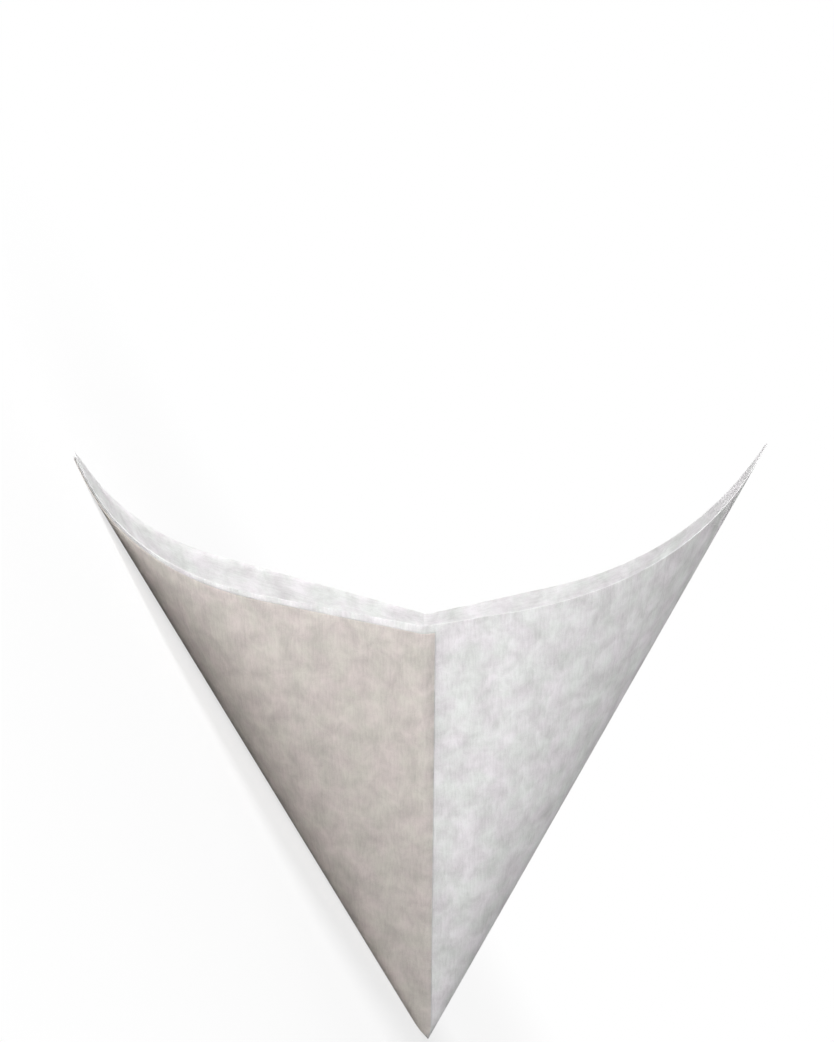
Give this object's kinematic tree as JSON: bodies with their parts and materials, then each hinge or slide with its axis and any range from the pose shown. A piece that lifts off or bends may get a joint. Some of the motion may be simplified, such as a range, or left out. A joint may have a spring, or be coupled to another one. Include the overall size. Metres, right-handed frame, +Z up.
{
  "type": "paper coffee filter",
  "caption": "Square sheet of filter paper folded in half and in half again, opened to a cone with its layers on one side, lying on that side.",
  "frame": {"origin": "under the middle of the part's box, on the surface that it lies on", "axes": "+X along the line that it rests on, from the cone's point to the tip of its layered side; +Z up, away from that surface; +Y to the crease beside which the two outer layers are folded"},
  "size_m": [0.2124, 0.1552, 0.1866],
  "materials": {
    "paper": "matte"
  },
  "bodies": {
    "root": {"filter": "paper"}
  },
  "joints": []
}
